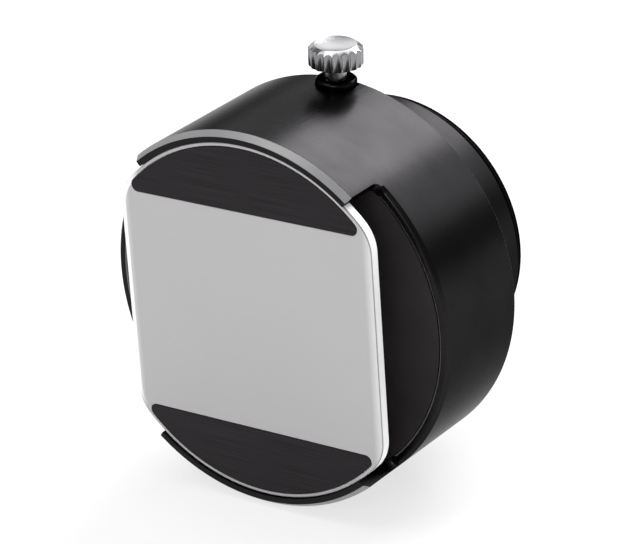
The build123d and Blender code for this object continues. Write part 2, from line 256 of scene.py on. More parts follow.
def soften(piece: Object, width: float = 0.0, segments: int = 2, angle: float = 18.0) -> Object:
    """Rounds a piece's sharp edges and smooths its faces.

    Args:
        piece: The piece, in object mode.
        width: The rounding's width in mm, or 0 for none.
        segments: Facets across the rounding.
        angle: The least angle of an edge that is rounded, in degrees.

    Returns:
        The same piece.
    """
    activate(piece)
    if width > 0:
        modify(
            piece,
            "BEVEL",
            width=width * MM,
            segments=segments,
            limit_method="ANGLE",
            angle_limit=radians(angle),
            miter_outer="MITER_ARC",
        )
    sharp = SHARP_IF_ROUNDED if width > 0 else SHARP
    bpy.ops.object.shade_smooth_by_angle(angle=radians(sharp))
    modify(piece, "WEIGHTED_NORMAL", keep_sharp=True)
    return piece


def carve(piece: Object, cutter: Object) -> None:
    """Cuts a piece with another, which is then deleted.

    Args:
        piece: The piece that stays.
        cutter: The cutting body.
    """
    activate(piece)
    modify(piece, "BOOLEAN", object=cutter, operation="DIFFERENCE", solver="EXACT")
    remove(cutter)
    activate(piece)


def turned(
    name: str,
    spindle: Spindle,
    profile: Sequence[Pair],
    steps: int,
    closed: bool = True,
    start: float = 0.0,
) -> Object:
    """Turns a profile about a spindle.

    Args:
        name: The piece's name.
        spindle: The axis.
        profile: Radius and height of each corner, in mm.
        steps: Facets round the axis.
        closed: Whether the last corner joins the first. Otherwise both lie on the axis.
        start: The angle of the first line of vertices, in radians.

    Returns:
        The piece, in object mode.
    """
    places = [spindle.at(radius * MM, height * MM, start) for radius, height in profile]
    if closed:
        places.append(places[0])
    piece = start_at(name, places[0])
    trace(places)
    bpy.ops.mesh.select_all(action="SELECT")
    bpy.ops.mesh.spin(steps=steps, angle=FULL_TURN, center=spindle.origin, axis=spindle.along)
    weld()
    leave()
    return piece


@dataclass(frozen=True)
class Thread:
    """A ring with a helical thread outside, cut off square at both ends. Sizes in mm.

    Args:
        name: The piece's name.
        spindle: The axis.
        crest: The thread's outer radius.
        depth: Its depth.
        pitch: Its pitch.
        start: The height of its first end.
        end: The height of its last end.
        flank_from: Where a flank leaves the root, as a share of the pitch.
        flank_to: Where that flank meets the crest.
        wall: How far the ring goes in below the root.
        spare_turns: Turns that are cut away, half of them at each end.
        facets: Facets round the axis.
    """

    name: str
    spindle: Spindle
    crest: float
    depth: float
    pitch: float
    start: float
    end: float
    flank_from: float = 0.12
    flank_to: float = 0.45
    wall: float = 0.3
    spare_turns: int = 4
    facets: int = 120

    def mesh(self) -> Object:
        """Builds the thread and smooths it.

        Returns:
            The piece, in object mode.
        """
        root = self.crest - self.depth
        low = self.start - self.spare_turns / 2 * self.pitch
        tooth = (
            (root, 0.0),
            (root, self.flank_from),
            (self.crest, self.flank_to),
            (self.crest, 1 - self.flank_to),
            (root, 1 - self.flank_from),
            (root, 1.0),
        )
        places = [self.spindle.at(out * MM, (low + part * self.pitch) * MM) for out, part in tooth]
        piece = start_at(self.name, places[0])
        trace(places)
        leave()
        self.wind(piece)
        edit()
        weld()
        self.cut_ends()
        bpy.ops.mesh.select_mode(type="EDGE")
        bpy.ops.mesh.select_all(action="DESELECT")
        bpy.ops.mesh.select_non_manifold()
        bpy.ops.mesh.extrude_edges_move()
        inward = (root - self.wall) / self.crest
        middle = self.spindle.at(0, (self.start + self.end) / 2 * MM)
        scale = [1 + (inward - 1) * (1 - abs(part)) for part in self.spindle.along]
        bpy.ops.transform.resize(value=scale, center_override=middle)
        bpy.ops.mesh.bridge_edge_loops()
        weld()
        leave()
        return soften(piece)

    def wind(self, piece: Object) -> None:
        """Winds the tooth's outline into a helix.

        Args:
            piece: The outline of one tooth, in object mode.
        """
        guide = added(bpy.ops.object.empty_add, "helix_guide", location=self.spindle.origin)
        guide.rotation_mode = "QUATERNION"
        guide.rotation_quaternion = Vector(self.spindle.along).to_track_quat("Z", "Y")
        bpy.context.view_layer.update()
        activate(piece)
        modify(
            piece,
            "SCREW",
            object=guide,
            axis="Z",
            screw_offset=self.pitch * MM,
            iterations=int((self.end - self.start) / self.pitch) + self.spare_turns,
            steps=self.facets,
            render_steps=self.facets,
        )
        remove(guide)
        activate(piece)

    def cut_ends(self) -> None:
        """Cuts the helix off square at both ends, in edit mode."""
        for height, outer in ((self.start, False), (self.end, True)):
            bpy.ops.mesh.select_all(action="SELECT")
            bpy.ops.mesh.bisect(
                plane_co=self.spindle.at(0, height * MM),
                plane_no=self.spindle.along,
                clear_inner=not outer,
                clear_outer=outer,
            )


def arc(centre: Pair, radius: float, start: float, end: float, steps: int) -> list[Pair]:
    """Points on an arc from one angle to another, angles in radians from +X."""
    turns = [start + (end - start) * index / steps for index in range(steps + 1)]
    return [(centre[0] + radius * cos(turn), centre[1] + radius * sin(turn)) for turn in turns]


def rounded_chord(
    radius: float, edge: float, corner: float, steps: int = 90, corner_steps: int = 10
) -> list[Pair]:
    """The outline of a disc's segment above a level edge, with two rounded corners.

    Args:
        radius: The disc's radius.
        edge: The edge's distance from the centre.
        corner: The corners' radius.
        steps: Facets of the long arc.
        corner_steps: Facets of each corner.

    Returns:
        The outline's points, anticlockwise, without the first repeated.
    """
    up = edge + corner
    across = sqrt((radius - corner) ** 2 - up**2)
    lean = asin(up / (radius - corner))
    right = arc((across, up), corner, -pi / 2, lean, corner_steps)
    top = arc((0, 0), radius, lean, pi - lean, steps)
    left = arc((-across, up), corner, pi - lean, 1.5 * pi, corner_steps)
    return right + top[1:-1] + left


def rounded_band(
    radius: float, half_width: float, corner: float, steps: int = 60, corner_steps: int = 14
) -> list[Pair]:
    """The outline of a disc cut off left and right, with four rounded corners.

    Args:
        radius: The disc's radius.
        half_width: The two level cuts' distance from the centre.
        corner: The corners' radius.
        steps: Facets of each long arc.
        corner_steps: Facets of each corner.

    Returns:
        The outline's points, anticlockwise, without the first repeated.
    """
    across = half_width - corner
    up = sqrt((radius - corner) ** 2 - across**2)
    lean = asin(up / (radius - corner))
    points = arc((across, up), corner, 0, lean, corner_steps)
    points += arc((0, 0), radius, lean, pi - lean, steps)[1:-1]
    points += arc((-across, up), corner, pi - lean, pi, corner_steps)
    return points + [(-x, -z) for x, z in points]


def plate_of(name: str, outline: Sequence[Pair], front: float, back: float) -> Object:
    """A flat plate square to the optical axis.

    Args:
        name: The piece's name.
        outline: Its corners across and up, in mm.
        front: The front face's place along the optical axis in mm.
        back: The back face's place in mm.

    Returns:
        The piece, in object mode.
    """
    places = [Vector((x, front, z)) * MM for x, z in outline]
    places.append(places[0])
    piece = start_at(name, places[0])
    trace(places)
    weld()
    bpy.ops.mesh.select_all(action="SELECT")
    bpy.ops.mesh.edge_face_add()
    push(back - front)
    weld()
    leave()
    return piece


def finish_piece(piece: Object, body: Body, material: Material) -> Object:
    """Gives a piece its material and its slot, and lets it ride on its body.

    Args:
        piece: The piece, in object mode.
        body: The CAD body it rides on.
        material: Its finish.

    Returns:
        The same piece.
    """
    piece.data.materials.clear()
    piece.data.materials.append(material)
    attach(piece, body.value)
    log.info("piece %s: %d faces, on %s", piece.name, len(piece.data.polygons), body.value)
    return piece


def paint(piece: Object, material: Material, test: Callable[[Vector], bool]) -> None:
    """Gives some of a piece's faces a further finish.

    Args:
        piece: The piece, in object mode.
        material: The further finish.
        test: Takes a face's centre.
    """
    piece.data.materials.append(material)
    activate(piece)
    edit()
    pick(piece, Pick.FACES, test)
    piece.active_material_index = len(piece.data.materials) - 1
    bpy.ops.object.material_slot_assign()
    leave()


def dress(names: Iterable[str], material: Material) -> None:
    """Gives carried CAD nodes a finish.

    Args:
        names: The nodes' names.
        material: Their finish.
    """
    for name in names:
        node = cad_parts[name]
        if not node.material_slots:
            node.data.materials.append(material)
        for place in node.material_slots:
            place.material = material
        log.info("dressed %s with %s", name, material.name)


# ---------------------------------------------------------------- finishes


NOISE_RANGE = (0.3, 0.7)


class Nodes:
    """A material's node tree, with short ways to add to it."""

    def __init__(self, name: str) -> None:
        """Starts an empty material with an output and a principled shader.

        Args:
            name: The material's name.
        """
        self.material = bpy.data.materials.new(name)
        self.material.use_nodes = True
        self.tree = self.material.node_tree
        self.tree.nodes.clear()
        self.output = self.add("ShaderNodeOutputMaterial")
        self.shader = self.add("ShaderNodeBsdfPrincipled")
        self.join(self.shader.outputs["BSDF"], self.output.inputs["Surface"])
        self.coordinates = self.add("ShaderNodeTexCoord").outputs["Object"]

    def join(self, source: NodeSocket, target: NodeSocket) -> None:
        """Links two sockets."""
        self.tree.links.new(source, target)

    def add(self, kind: str) -> Node:
        """Adds a node."""
        return self.tree.nodes.new(kind)

    def fed(self, kind: str, target: str | int, source: NodeSocket, **values: object) -> Node:
        """Adds a node, links a socket to it and sets its other inputs.

        Args:
            kind: The node's type.
            target: The input that is linked.
            source: The socket that feeds it.
            values: The other inputs, with underscores for spaces.

        Returns:
            The node.
        """
        node = self.add(kind)
        self.join(source, node.inputs[target])
        for name, value in values.items():
            node.inputs[name.replace("_", " ")].default_value = value
        return node

    def set(self, **values: object) -> None:
        """Sets the principled shader's inputs, with underscores for spaces."""
        for name, value in values.items():
            self.shader.inputs[name.replace("_", " ")].default_value = value

    def math(self, how: str, one: NodeSocket | float, two: NodeSocket | float = 0.0) -> NodeSocket:
        """A sum on sockets or numbers.

        Args:
            how: The node's operation.
            one: Its first input.
            two: Its second input.

        Returns:
            The result's socket.
        """
        node = self.add("ShaderNodeMath")
        node.operation = how
        for socket, value in zip(node.inputs, (one, two)):
            if isinstance(value, NodeSocket):
                self.join(value, socket)
            else:
                socket.default_value = value
        return node.outputs[0]

    def times(self, one: NodeSocket | float, two: NodeSocket | float) -> NodeSocket:
        """One value times another."""
        return self.math("MULTIPLY", one, two)

    def greater(self, one: NodeSocket | float, two: NodeSocket | float) -> NodeSocket:
        """The greater of two values."""
        return self.math("MAXIMUM", one, two)

    def length(self, one: NodeSocket, two: NodeSocket) -> NodeSocket:
        """The length of the slanting side over two square ones."""
        return self.math("SQRT", self.math("ADD", self.times(one, one), self.times(two, two)))

    def split(self) -> Sequence[NodeSocket]:
        """The X, Y and Z of the object coordinates."""
        return tuple(self.fed("ShaderNodeSeparateXYZ", 0, self.coordinates).outputs)

    def stretched(self, scale: Triple) -> NodeSocket:
        """Object coordinates times a scale on each axis."""
        node = self.fed("ShaderNodeMapping", "Vector", self.coordinates, Scale=scale)
        return node.outputs["Vector"]

    def about_optical(self, round_scale: float, along_scale: float) -> NodeSocket:
        """Coordinates of a surface turned about the optical axis: angle, depth and radius.

        Args:
            round_scale: Scale of the angle.
            along_scale: Scale of the depth and the radius.

        Returns:
            The coordinates' socket.
        """
        x, y, z = self.split()
        angle = self.math("ARCTAN2", x, z)
        merge = self.add("ShaderNodeCombineXYZ")
        self.join(self.times(angle, round_scale), merge.inputs["X"])
        self.join(self.times(y, along_scale), merge.inputs["Y"])
        self.join(self.times(self.length(x, z), along_scale), merge.inputs["Z"])
        return merge.outputs[0]

    def noise(self, where: NodeSocket, scale: float, detail: float = 3.0) -> NodeSocket:
        """Noise over some coordinates, from 0 to 1."""
        node = self.fed("ShaderNodeTexNoise", "Vector", where, Scale=scale, Detail=detail)
        return node.outputs["Fac"]

    def between(
        self, value: NodeSocket, start: float, end: float, low: float = 0.0, high: float = 1.0
    ) -> NodeSocket:
        """Maps one range onto another, held at both ends.

        Args:
            value: The socket that is mapped.
            start: Its value where the result is low.
            end: Its value where the result is high.
            low: The result at the start.
            high: The result at the end.

        Returns:
            The result's socket.
        """
        ends = {"From_Min": start, "From_Max": end, "To_Min": low, "To_Max": high}
        return self.fed("ShaderNodeMapRange", "Value", value, **ends).outputs["Result"]

    def spread(self, value: NodeSocket, low: float, high: float) -> NodeSocket:
        """Maps the middle of a noise onto a range."""
        return self.between(value, *NOISE_RANGE, low, high)

    def ramp(self, value: NodeSocket, low: Triple, high: Triple) -> NodeSocket:
        """Mixes two colours by the middle of a noise.

        Args:
            value: The noise.
            low: The colour where it is low.
            high: The colour where it is high.

        Returns:
            The colour's socket.
        """
        node = self.fed("ShaderNodeValToRGB", "Fac", value)
        for element, place, colour in zip(node.color_ramp.elements, NOISE_RANGE, (low, high)):
            element.position = place
            element.color = (*colour, 1)
        return node.outputs["Color"]

    def bump(self, value: NodeSocket, strength: float, distance: float) -> None:
        """Raises the surface by a value, up to a distance in metres."""
        node = self.fed("ShaderNodeBump", "Height", value, Strength=strength, Distance=distance)
        self.join(node.outputs["Normal"], self.shader.inputs["Normal"])


@dataclass(frozen=True)
class Finish:
    """A finish whose tone and roughness vary a little over the surface.

    Args:
        name: The material's name.
        dark: The darker tone.
        light: The lighter tone.
        roughness: The least and the greatest roughness.
        metallic: How metallic it is.
        specular: Strength of its reflection.
        edge_tint: How much of its grazing reflection a metallic finish keeps.
    """

    name: str
    dark: Triple
    light: Triple
    roughness: Pair
    metallic: float = 0.0
    specular: float = 0.5
    edge_tint: float = 1.0

    def lay(self, nodes: Nodes, tone: NodeSocket, grain: NodeSocket) -> None:
        """Lays the finish over two noises.

        Args:
            nodes: The material's nodes.
            tone: The noise that the tone follows.
            grain: The noise that the roughness follows.
        """
        nodes.join(nodes.ramp(tone, self.dark, self.light), nodes.shader.inputs["Base Color"])
        nodes.join(nodes.spread(grain, *self.roughness), nodes.shader.inputs["Roughness"])
        tint = (self.edge_tint, self.edge_tint, self.edge_tint, 1)
        nodes.set(Metallic=self.metallic, Specular_IOR_Level=self.specular, Specular_Tint=tint)


@dataclass(frozen=True)
class Turned(Finish):
    """Black anodised metal with fine turning marks round the optical axis.

    Args:
        specular: Strength of its reflection.
        marks: Depth of the marks in metres.
        strength: How strongly they show.
        scales: Noise scales of the marks, round the axis and along it.
        detail: Noise detail of the marks.
        cloud: Noise scale of the tone.
    """

    specular: float = 0.10
    marks: float = 0.0000008
    strength: float = 0.35
    scales: Pair = (1.2, 5200.0)
    detail: float = 4.0
    cloud: float = 90.0

    def build(self) -> Material:
        """Makes the material.

        Returns:
            The material.
        """
        nodes = Nodes(self.name)
        lines = nodes.noise(nodes.about_optical(*self.scales), 1.0, self.detail)
        self.lay(nodes, nodes.noise(nodes.coordinates, self.cloud), lines)
        nodes.bump(lines, self.strength, self.marks)
        return nodes.material


@dataclass(frozen=True)
class Brushed(Finish):
    """Dark anodised metal with level hairlines.

    Args:
        scales: Noise scales of the hairlines on the three axes.
        detail: Noise detail of the hairlines.
        marks: Depth of the hairlines in metres.
        strength: How strongly they show.
    """

    scales: Triple = (60.0, 1.0, 6500.0)
    detail: float = 5.0
    marks: float = 0.000003
    strength: float = 0.25

    def build(self) -> Material:
        """Makes the material.

        Returns:
            The material.
        """
        nodes = Nodes(self.name)
        lines = nodes.noise(nodes.stretched(self.scales), 1.0, self.detail)
        self.lay(nodes, lines, lines)
        nodes.bump(lines, self.strength, self.marks)
        return nodes.material


@dataclass(frozen=True)
class Plated(Finish):
    """Bright plated metal with faint wear.

    Args:
        cloud: Noise scale of the wear.
    """

    cloud: float = 500.0

    def build(self) -> Material:
        """Makes the material.

        Returns:
            The material.
        """
        nodes = Nodes(self.name)
        wear = nodes.noise(nodes.coordinates, self.cloud)
        self.lay(nodes, wear, wear)
        return nodes.material


@dataclass(frozen=True)
class Plain(Finish):
    """A plain mottled finish: moulded plastic, black oxide, steel, brass or felt.

    Args:
        grain: Noise scale of the mottling.
        detail: Noise detail of the mottling.
        relief: Depth of the relief in metres.
        strength: How strongly the relief shows.
        sheen: Strength of a cloth's sheen.
    """

    grain: float = 1500.0
    detail: float = 4.0
    relief: float = 0.000004
    strength: float = 0.5
    sheen: float = 0.0

    def build(self) -> Material:
        """Makes the material.

        Returns:
            The material.
        """
        nodes = Nodes(self.name)
        mottling = nodes.noise(nodes.coordinates, self.grain, self.detail)
        self.lay(nodes, mottling, mottling)
        nodes.set(Sheen_Weight=self.sheen)
        nodes.bump(mottling, self.strength, self.relief)
        return nodes.material


@dataclass(frozen=True)
class Opal:
    """Milky acrylic with a frosted face and polished edges, with painted light in its colour: a
    painted glow on the edges and the face near them, a painted shade on the bevel between, and a
    painted highlight line along the edge on -X. Sizes in mm.

    Args:
        name: The material's name.
        tone: The frosted face's tone.
        glow_tone: The edges' tone, painted bright as a glow of light coming through the acrylic.
        painted_bevel_shade: How much darker the bevel between face and edge is painted, as painted
            shade.
        mottle: The least and the greatest share of the tone.
        roughness: The least and the greatest roughness.
        specular: Strength of its reflection.
        cloud: Noise scale of the mottling.
        face: Where the frosted face lies along the optical axis.
        shade_in: From where to where behind the face the bevel's shade comes up.
        shade_out: From where to where behind the face it gives way to the edges' painted glow.
        fade: From where to where across the face the painted glow brightens it.
        fade_share: How far the painted glow brightens it towards the edges' tone there.
        corner: Radius of the face's corners.
        corner_centre: Where a corner is centred, across and up.
        lit_line: From where to where, inwards from the edge on -X, the painted highlight line
            fades.
        lit_end: From where to where across the painted highlight line comes up.
        lit_foot: From where to where upwards the painted highlight line comes up.
    """

    name: str
    tone: float = 0.41
    glow_tone: float = 0.93
    painted_bevel_shade: float = 0.55
    mottle: Pair = (0.99, 1.01)
    roughness: Pair = (0.30, 0.36)
    specular: float = 0.25
    cloud: float = 60.0
    face: float = -46.25
    shade_in: Pair = (0.025, 0.0625)
    shade_out: Pair = (0.225, 0.325)
    fade: Pair = (25.0, 26.8)
    fade_share: float = 0.45
    corner: float = 8.0
    corner_centre: Pair = (18.83, 17.86)
    lit_line: Pair = (0.75, 1.1)
    lit_end: Pair = (-22.5, -24.5)
    lit_foot: Pair = (-22.0, -18.5)

    def painted_highlight_line(self, nodes: Nodes, across: NodeSocket, up: NodeSocket) -> NodeSocket:
        """The painted highlight line along the edge on -X, a bright line painted into the colour
        on that side only.

        Args:
            nodes: The material's nodes.
            across: A place across the face, in mm.
            up: The place's height, in mm.

        Returns:
            How far the place belongs to the line, from 0 to 1.
        """
        beyond = [
            nodes.greater(nodes.math("SUBTRACT", nodes.math("ABSOLUTE", place), centre), 0.0)
            for place, centre in zip((across, up), self.corner_centre)
        ]
        full, none = (self.corner - inwards for inwards in self.lit_line)
        line = nodes.between(nodes.length(*beyond), none, full)
        line = nodes.times(line, nodes.between(across, *self.lit_end))
        return nodes.times(line, nodes.between(up, *self.lit_foot))

    def build(self) -> Material:
        """Makes the material.

        Returns:
            The material.
        """
        nodes = Nodes(self.name)
        cloud = nodes.noise(nodes.coordinates, self.cloud)
        across, along, up = (nodes.times(place, 1 / MM) for place in nodes.split())
        depth = nodes.math("SUBTRACT", along, self.face)
        # Painted glow: the face is painted brighter towards the edges on both sides across.
        near = nodes.between(nodes.math("ABSOLUTE", across), *self.fade, 0.0, self.fade_share)
        # Painted glow: the side faces behind the bevel take the edges' bright tone.
        share = nodes.greater(near, nodes.between(depth, *self.shade_out))
        # Painted highlight: a bright line along the edge on -X only.
        share = nodes.greater(share, self.painted_highlight_line(nodes, across, up))
        level = nodes.between(share, 0.0, 1.0, self.tone, self.glow_tone)
        # Painted shade: the bevel between face and edge is darkened in the colour.
        shade = nodes.times(
            nodes.between(depth, *self.shade_in, 0.0, self.painted_bevel_shade),
            nodes.between(depth, *self.shade_out, 1.0, 0.0),
        )
        level = nodes.times(level, nodes.math("SUBTRACT", 1.0, shade))
        level = nodes.times(level, nodes.spread(cloud, *self.mottle))
        merge = nodes.add("ShaderNodeCombineColor")
        for channel in ("Red", "Green", "Blue"):
            nodes.join(level, merge.inputs[channel])
        nodes.join(merge.outputs[0], nodes.shader.inputs["Base Color"])
        nodes.join(nodes.spread(cloud, *self.roughness), nodes.shader.inputs["Roughness"])
        nodes.set(Specular_IOR_Level=self.specular)
        return nodes.material


def made(finish: Turned | Brushed | Plated | Plain | Opal) -> Material:
    """A palette's entry, whose material is made with the palette."""
    return field(default_factory=finish.build)


SATIN = ((0.0165, 0.0160, 0.0168), (0.0215, 0.0208, 0.0218))
# Painted reflection: the rim bevel's light grey stands in for the lamps' reflection on a bevel
# that is black anodised like the barrel.
RIM_SHEEN_PAINT = ((0.20, 0.198, 0.204), (0.235, 0.233, 0.239))
# Painted highlight: the seat bevel's grey stands in for the thin glint along the bore's edge.
SEAT_GLINT_PAINT = ((0.12, 0.118, 0.122), (0.15, 0.148, 0.153))
STAGE = ((0.016, 0.0135, 0.015), (0.022, 0.019, 0.021))
THREAD = ((0.002, 0.002, 0.002), (0.004, 0.0035, 0.004))
HAIRLINES = ((0.008, 0.0062, 0.0075), (0.022, 0.019, 0.0215))
ACETAL = ((0.012, 0.012, 0.012), (0.022, 0.021, 0.021))
OXIDE = ((0.012, 0.012, 0.013), (0.028, 0.027, 0.028))
BLUED = ((0.010, 0.0098, 0.010), (0.014, 0.0136, 0.014))
PLATE = ((0.26, 0.26, 0.27), (0.32, 0.32, 0.33))
STEEL = ((0.48, 0.48, 0.49), (0.62, 0.62, 0.63))
FELT = ((0.008, 0.008, 0.008), (0.030, 0.030, 0.031))
BRASS = ((0.60, 0.45, 0.20), (0.78, 0.60, 0.30))


@dataclass(frozen=True)
class Palette:
    """Every finish on the object, built once."""

    barrel: Material = made(Turned("satin_black", *SATIN, (0.27, 0.29), 1.0, edge_tint=0.5))
    # The rim bevel's finish paints the lamps' reflection into a light grey tone, on top of its own
    # real, stronger reflection.
    painted_rim_sheen: Material = made(Turned("painted_rim_sheen", *RIM_SHEEN_PAINT, (0.34, 0.38), specular=0.6))
    # The seat bevel's finish is a painted highlight: a grey tone for the glint along the bore's
    # edge.
    painted_seat_glint: Material = made(Turned("painted_seat_glint", *SEAT_GLINT_PAINT, (0.38, 0.44), specular=0.5))
    tube: Material = made(Turned("tube_black", *SATIN, (0.32, 0.38), 1.0, edge_tint=0.45))
    stage: Material = made(Turned("stage_black", *STAGE, (0.42, 0.50)))
    thread: Material = made(Turned("thread_black", *THREAD, (0.45, 0.55), specular=0.05))
    opal: Material = made(Opal("opal_acrylic"))
    plate: Material = made(Brushed("brushed_dark", *HAIRLINES, (0.36, 0.46), 0.6, 0.3))
    guide: Material = made(Plain("black_acetal", *ACETAL, (0.42, 0.52)))
    oxide: Material = made(Plain("black_oxide", *OXIDE, (0.30, 0.42), 0.4))
    bush: Material = made(Plain("blued_black", *BLUED, (0.20, 0.28), 1.0, edge_tint=0.4))
    bright: Material = made(Plated("bright_plate", *PLATE, (0.22, 0.27), 1.0))
    steel: Material = made(Plain("plain_steel", *STEEL, (0.18, 0.28), 1.0))
    felt: Material = made(
        Plain("black_felt", *FELT, (0.85, 0.98), grain=3500.0, relief=0.00004, sheen=0.3)
    )
    brass: Material = made(Plain("plain_brass", *BRASS, (0.25, 0.38), 1.0))


# ---------------------------------------------------------------- sub-assemblies


@dataclass
class Barrel:
    """The turned barrel with its two arches. Sizes in mm, angles in degrees."""

    radius: float = 36.0
    bore: float = 34.0
    rim: float = -46.7
    slot_back: float = -37.5
    stage_back: float = -35.5
    ledge_back: float = -32.5
    ledge: float = 30.0
    cavity: float = 32.0
    bearing_front: float = -21.6
    bearing: float = 27.35
    groove: float = 28.7
    groove_front: float = -20.4
    groove_back: float = -15.6
    felt_front: float = -13.6
    felt_back: float = -11.6
    felt_outer: float = 28.0
    back: float = -15.0
    hub: float = 30.6
    hub_back: float = -10.4
    hub_edge: float = 0.5
    rim_bevel: float = 0.9
    rim_bevel_length: float = 1.3
    back_bevel: float = 0.5
    slot_bevel: float = 0.6
    slot_bevel_length: float = 0.7
    slot_corner: float = 1.5
    corner_facets: int = 5
    seat_bevel: float = 0.35
    half_angle: float = 39.6
    clear_angle: float = 3.0
    steps: int = 200
    edge: float = 0.12
    spot_radius: float = 3.9
    spot_height: float = 35.79
    stem_bore: float = 2.6
    cutter_steps: int = 72
    cutter_in: float = 1.0
    cutter_out: float = 4.0
    outer_slack: float = 0.5
    slack: float = 0.02
    fine_slack: float = 0.01

    def profile(self) -> list[Pair]:
        """The barrel's profile behind the slot, from the front outside inwards.

        Returns:
            Radius and place of each corner.
        """
        return [
            (self.bore, self.slot_back),
            (self.radius, self.slot_back),
            (self.radius, self.slot_back + self.slot_bevel_length),
            (self.radius, self.back - self.back_bevel),
            (self.radius - self.back_bevel, self.back),
            (self.hub, self.back),
            (self.hub, self.hub_back - self.hub_edge),
            (self.hub - self.hub_edge, self.hub_back),
            (self.bearing, self.hub_back),
            (self.bearing, self.felt_back),
            (self.felt_outer, self.felt_back),
            (self.felt_outer, self.felt_front),
            (self.bearing, self.felt_front),
            (self.bearing, self.groove_back),
            (self.groove, self.groove_back),
            (self.groove, self.groove_front),
            (self.bearing, self.groove_front),
            (self.bearing, self.bearing_front),
            (self.cavity, self.bearing_front),
            (self.cavity, self.ledge_back),
            (self.ledge, self.ledge_back),
            (self.ledge, self.stage_back),
            (self.bore, self.stage_back),
        ]

    def in_arch(self, at: Vector, slack: float = 0.0) -> bool:
        """Whether a place is inside one of the two arches, with some slack in degrees."""
        return abs(at.z) > reach(at) * cos(radians(self.half_angle + slack))

    def on_slot_back(self, at: Vector) -> bool:
        """Whether a place is in the plane of the slot's back."""
        return abs(at.y - self.slot_back * MM) < NEAR

    def clear_of_arches(self, at: Vector) -> bool:
        """Whether a place is in the plane of the slot's back and clear of the arches."""
        return self.on_slot_back(at) and not self.in_arch(at, self.clear_angle)

    def on_rim(self, at: Vector) -> bool:
        """Whether a place is in the plane of the rim."""
        return abs(at.y - self.rim * MM) < NEAR

    def is_slot_corner(self, one: Vector, two: Vector) -> bool:
        """Whether an edge runs along one of the slot's four inner corners.

        Args:
            one: The edge's one end.
            two: Its other end.

        Returns:
            Whether it does.
        """
        if not (self.on_slot_back(one) and self.on_slot_back(two)):
            return False
        level = reach(one) * cos(radians(self.half_angle))
        across = abs(reach(one) - reach(two)) > MM
        return across and abs(abs(one.z) - level) < self.slack * MM

    def is_seat_edge(self, *ends: Vector) -> bool:
        """Whether an edge with these ends runs round the bore, clear of the arches."""
        near = [abs(reach(at) - self.bore * MM) <= self.slack * MM for at in ends]
        return all(near) and all(self.clear_of_arches(at) for at in ends)

    def is_rim_bevel(self, at: Vector) -> bool:
        """Whether a face's centre lies on the rim's bevel.

        Args:
            at: The centre.

        Returns:
            Whether it does.
        """
        if not self.radius - self.rim_bevel < reach(at) / MM < self.radius - self.fine_slack:
            return False
        return self.slack < at.y / MM - self.rim < self.rim_bevel_length - self.slack

    def is_seat_bevel(self, at: Vector) -> bool:
        """Whether a face's centre lies on the bevel round the stage's seat."""
        ways = (at.y / MM - self.slot_back, reach(at) / MM - self.bore)
        return all(self.slack < way < self.seat_bevel - self.slack for way in ways)

    def draw_in(
        self, piece: Object, level: float, bevel: float, test: Callable[[Vector], bool]
    ) -> None:
        """Draws the outer edge in a plane inwards, so that a bevel leads to it.

        Args:
            piece: The barrel, in edit mode.
            level: The plane's place along the optical axis.
            bevel: How far the edge goes in.
            test: Takes a vertex's place in the plane.
        """
        outer = (self.radius - self.outer_slack) * MM
        pick(piece, Pick.VERTICES, lambda at: test(at) and reach(at) > outer)
        shrink = (self.radius - bevel) / self.radius
        bpy.ops.transform.resize(value=(shrink, 1, shrink), center_override=(0, level * MM, 0))

    def mesh(self) -> Object:
        """Builds the barrel.

        Returns:
            The piece, in object mode.
        """
        piece = turned("barrel_shell", OPTICAL, self.profile(), self.steps)
        activate(piece)
        edit()
        pick(piece, Pick.FACES, lambda at: self.on_slot_back(at) and self.in_arch(at))
        push(self.rim + self.rim_bevel_length - self.slot_back)
        push(-self.rim_bevel_length)
        self.draw_in(piece, self.rim, self.rim_bevel, self.on_rim)
        self.draw_in(piece, self.slot_back, self.slot_bevel, self.clear_of_arches)
        for test, width, segments in (
            (self.is_slot_corner, self.slot_corner, self.corner_facets),
            (self.is_seat_edge, self.seat_bevel, 1),
        ):
            pick(piece, Pick.EDGES, test)
            bpy.ops.mesh.bevel(offset=width * MM, segments=segments, affect="EDGES")
        weld()
        leave()
        soften(piece, self.edge)
        carve(piece, self.stem_cutter())
        return soften(piece)

    def stem_cutter(self) -> Object:
        """The spot face and the hole for the screw bush.

        Returns:
            Their cutter.
        """
        profile = [
            (0.0, self.bearing - self.cutter_in),
            (self.stem_bore, self.bearing - self.cutter_in),
            (self.stem_bore, self.spot_height),
            (self.spot_radius, self.spot_height),
            (self.spot_radius, self.radius + self.cutter_out),
            (0.0, self.radius + self.cutter_out),
        ]
        return turned("stem_cutter", STEM, profile, self.cutter_steps, closed=False)

    def assemble(self, palette: Palette) -> None:
        """Builds and dresses the sub-assembly.

        Args:
            palette: The finishes.
        """
        piece = finish_piece(self.mesh(), Body.BARREL, palette.barrel)
        # The rim bevel is painted light grey, a painted reflection of the lamps overhead.
        paint(piece, palette.painted_rim_sheen, self.is_rim_bevel)
        # The seat bevel is painted grey, a painted highlight along the bore's edge.
        paint(piece, palette.painted_seat_glint, self.is_seat_bevel)
        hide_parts("barrel")


